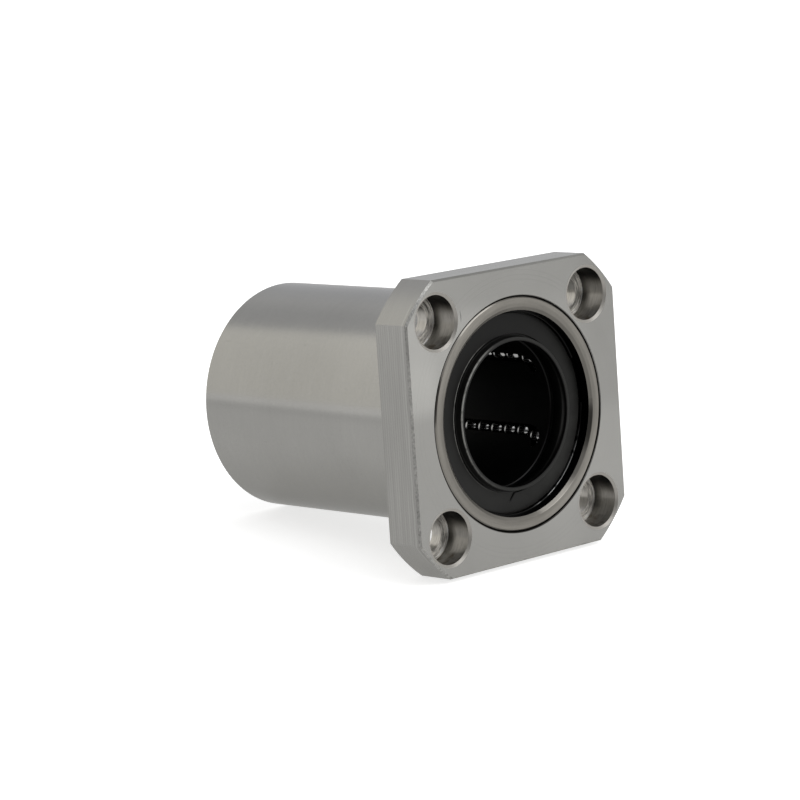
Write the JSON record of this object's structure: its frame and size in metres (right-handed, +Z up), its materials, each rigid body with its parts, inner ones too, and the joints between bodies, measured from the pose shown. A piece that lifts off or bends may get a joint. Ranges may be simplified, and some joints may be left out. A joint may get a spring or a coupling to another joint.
{
  "type": "flanged linear bushing",
  "caption": "Square-flanged linear ball bushing: a steel sleeve with recirculating ball circuits that guides a round shaft along its axis, sealed at both ends.",
  "frame": {"origin": "centre of the bore in the plane of the flange's mounting face", "axes": "+X along the bore, out of the flange's front face; +Z up, square to a flat side of the flange"},
  "size_m": [0.058, 0.05, 0.05],
  "materials": {
    "bearing_steel": "satin ground",
    "flange_steel": "machined",
    "retainer_plastic": "matte",
    "spring_steel": "blackened",
    "seal_rubber": "matte",
    "washer_steel": "satin",
    "ball_steel": "polished"
  },
  "bodies": {
    "housing": {"outer_sleeve": "bearing_steel", "square_flange": "flange_steel", "ball_retainer": "retainer_plastic", "front_retaining_ring": "spring_steel", "rear_retaining_ring": "spring_steel", "front_seal": "seal_rubber", "rear_seal": "seal_rubber", "front_side_ring": "washer_steel", "rear_side_ring": "washer_steel"},
    "load_row_1": {"load_row_1": "ball_steel"},
    "return_row_1": {"return_row_1": "ball_steel"},
    "front_turn_1": {"front_turn_1": "ball_steel"},
    "rear_turn_1": {"rear_turn_1": "ball_steel"},
    "load_row_2": {"load_row_2": "ball_steel"},
    "return_row_2": {"return_row_2": "ball_steel"},
    "front_turn_2": {"front_turn_2": "ball_steel"},
    "rear_turn_2": {"rear_turn_2": "ball_steel"},
    "load_row_3": {"load_row_3": "ball_steel"},
    "return_row_3": {"return_row_3": "ball_steel"},
    "front_turn_3": {"front_turn_3": "ball_steel"},
    "rear_turn_3": {"rear_turn_3": "ball_steel"},
    "load_row_4": {"load_row_4": "ball_steel"},
    "return_row_4": {"return_row_4": "ball_steel"},
    "front_turn_4": {"front_turn_4": "ball_steel"},
    "rear_turn_4": {"rear_turn_4": "ball_steel"},
    "load_row_5": {"load_row_5": "ball_steel"},
    "return_row_5": {"return_row_5": "ball_steel"},
    "front_turn_5": {"front_turn_5": "ball_steel"},
    "rear_turn_5": {"rear_turn_5": "ball_steel"},
    "load_row_6": {"load_row_6": "ball_steel"},
    "return_row_6": {"return_row_6": "ball_steel"},
    "front_turn_6": {"front_turn_6": "ball_steel"},
    "rear_turn_6": {"rear_turn_6": "ball_steel"}
  },
  "joints": [
    {"name": "load_row_1_slide", "type": "slide", "parent": "housing", "child": "load_row_1", "axis": [1, 0, 0], "range_m": [-0.00159, 0.00159]},
    {"name": "return_row_1_slide", "type": "slide", "parent": "housing", "child": "return_row_1", "axis": [1, 0, 0], "range_m": [-0.0016, 0.0016]},
    {"name": "front_turn_1_swing", "type": "hinge", "parent": "housing", "child": "front_turn_1", "pos_m": [-0.0023, 0.01194, -0.00787], "axis": [0, 0.9135, -0.4067], "range_deg": [-39, 39]},
    {"name": "rear_turn_1_swing", "type": "hinge", "parent": "housing", "child": "rear_turn_1", "pos_m": [-0.0407, 0.01194, -0.00787], "axis": [0, 0.9135, -0.4067], "range_deg": [-39, 39]},
    {"name": "load_row_2_slide", "type": "slide", "parent": "housing", "child": "load_row_2", "axis": [1, 0, 0], "range_m": [-0.00159, 0.00159]},
    {"name": "return_row_2_slide", "type": "slide", "parent": "housing", "child": "return_row_2", "axis": [1, 0, 0], "range_m": [-0.0016, 0.0016]},
    {"name": "front_turn_2_swing", "type": "hinge", "parent": "housing", "child": "front_turn_2", "pos_m": [-0.0023, 0.01279, 0.0064], "axis": [0, 0.809, 0.5878], "range_deg": [-39, 39]},
    {"name": "rear_turn_2_swing", "type": "hinge", "parent": "housing", "child": "rear_turn_2", "pos_m": [-0.0407, 0.01279, 0.0064], "axis": [0, 0.809, 0.5878], "range_deg": [-39, 39]},
    {"name": "load_row_3_slide", "type": "slide", "parent": "housing", "child": "load_row_3", "axis": [1, 0, 0], "range_m": [-0.00159, 0.00159]},
    {"name": "return_row_3_slide", "type": "slide", "parent": "housing", "child": "return_row_3", "axis": [1, 0, 0], "range_m": [-0.0016, 0.0016]},
    {"name": "front_turn_3_swing", "type": "hinge", "parent": "housing", "child": "front_turn_3", "pos_m": [-0.0023, 0.00085, 0.01427], "axis": [0, -0.1045, 0.9945], "range_deg": [-39, 39]},
    {"name": "rear_turn_3_swing", "type": "hinge", "parent": "housing", "child": "rear_turn_3", "pos_m": [-0.0407, 0.00085, 0.01427], "axis": [0, -0.1045, 0.9945], "range_deg": [-39, 39]},
    {"name": "load_row_4_slide", "type": "slide", "parent": "housing", "child": "load_row_4", "axis": [1, 0, 0], "range_m": [-0.00159, 0.00159]},
    {"name": "return_row_4_slide", "type": "slide", "parent": "housing", "child": "return_row_4", "axis": [1, 0, 0], "range_m": [-0.0016, 0.0016]},
    {"name": "front_turn_4_swing", "type": "hinge", "parent": "housing", "child": "front_turn_4", "pos_m": [-0.0023, -0.01194, 0.00787], "axis": [0, -0.9135, 0.4067], "range_deg": [-39, 39]},
    {"name": "rear_turn_4_swing", "type": "hinge", "parent": "housing", "child": "rear_turn_4", "pos_m": [-0.0407, -0.01194, 0.00787], "axis": [0, -0.9135, 0.4067], "range_deg": [-39, 39]},
    {"name": "load_row_5_slide", "type": "slide", "parent": "housing", "child": "load_row_5", "axis": [1, 0, 0], "range_m": [-0.00159, 0.00159]},
    {"name": "return_row_5_slide", "type": "slide", "parent": "housing", "child": "return_row_5", "axis": [1, 0, 0], "range_m": [-0.0016, 0.0016]},
    {"name": "front_turn_5_swing", "type": "hinge", "parent": "housing", "child": "front_turn_5", "pos_m": [-0.0023, -0.01279, -0.0064], "axis": [0, -0.809, -0.5878], "range_deg": [-39, 39]},
    {"name": "rear_turn_5_swing", "type": "hinge", "parent": "housing", "child": "rear_turn_5", "pos_m": [-0.0407, -0.01279, -0.0064], "axis": [0, -0.809, -0.5878], "range_deg": [-39, 39]},
    {"name": "load_row_6_slide", "type": "slide", "parent": "housing", "child": "load_row_6", "axis": [1, 0, 0], "range_m": [-0.00159, 0.00159]},
    {"name": "return_row_6_slide", "type": "slide", "parent": "housing", "child": "return_row_6", "axis": [1, 0, 0], "range_m": [-0.0016, 0.0016]},
    {"name": "front_turn_6_swing", "type": "hinge", "parent": "housing", "child": "front_turn_6", "pos_m": [-0.0023, -0.00085, -0.01427], "axis": [0, 0.1045, -0.9945], "range_deg": [-39, 39]},
    {"name": "rear_turn_6_swing", "type": "hinge", "parent": "housing", "child": "rear_turn_6", "pos_m": [-0.0407, -0.00085, -0.01427], "axis": [0, 0.1045, -0.9945], "range_deg": [-39, 39]}
  ],
  "couplings": [
    {"joint": "return_row_1_slide", "follows": "load_row_1_slide", "ratio": -1},
    {"joint": "front_turn_1_swing", "follows": "load_row_1_slide", "rad_per_m": 427.64},
    {"joint": "rear_turn_1_swing", "follows": "load_row_1_slide", "rad_per_m": 427.64},
    {"joint": "return_row_2_slide", "follows": "load_row_2_slide", "ratio": -1},
    {"joint": "front_turn_2_swing", "follows": "load_row_2_slide", "rad_per_m": 427.64},
    {"joint": "rear_turn_2_swing", "follows": "load_row_2_slide", "rad_per_m": 427.64},
    {"joint": "return_row_3_slide", "follows": "load_row_3_slide", "ratio": -1},
    {"joint": "front_turn_3_swing", "follows": "load_row_3_slide", "rad_per_m": 427.64},
    {"joint": "rear_turn_3_swing", "follows": "load_row_3_slide", "rad_per_m": 427.64},
    {"joint": "return_row_4_slide", "follows": "load_row_4_slide", "ratio": -1},
    {"joint": "front_turn_4_swing", "follows": "load_row_4_slide", "rad_per_m": 427.64},
    {"joint": "rear_turn_4_swing", "follows": "load_row_4_slide", "rad_per_m": 427.64},
    {"joint": "return_row_5_slide", "follows": "load_row_5_slide", "ratio": -1},
    {"joint": "front_turn_5_swing", "follows": "load_row_5_slide", "rad_per_m": 427.64},
    {"joint": "rear_turn_5_swing", "follows": "load_row_5_slide", "rad_per_m": 427.64},
    {"joint": "return_row_6_slide", "follows": "load_row_6_slide", "ratio": -1},
    {"joint": "front_turn_6_swing", "follows": "load_row_6_slide", "rad_per_m": 427.64},
    {"joint": "rear_turn_6_swing", "follows": "load_row_6_slide", "rad_per_m": 427.64}
  ]
}
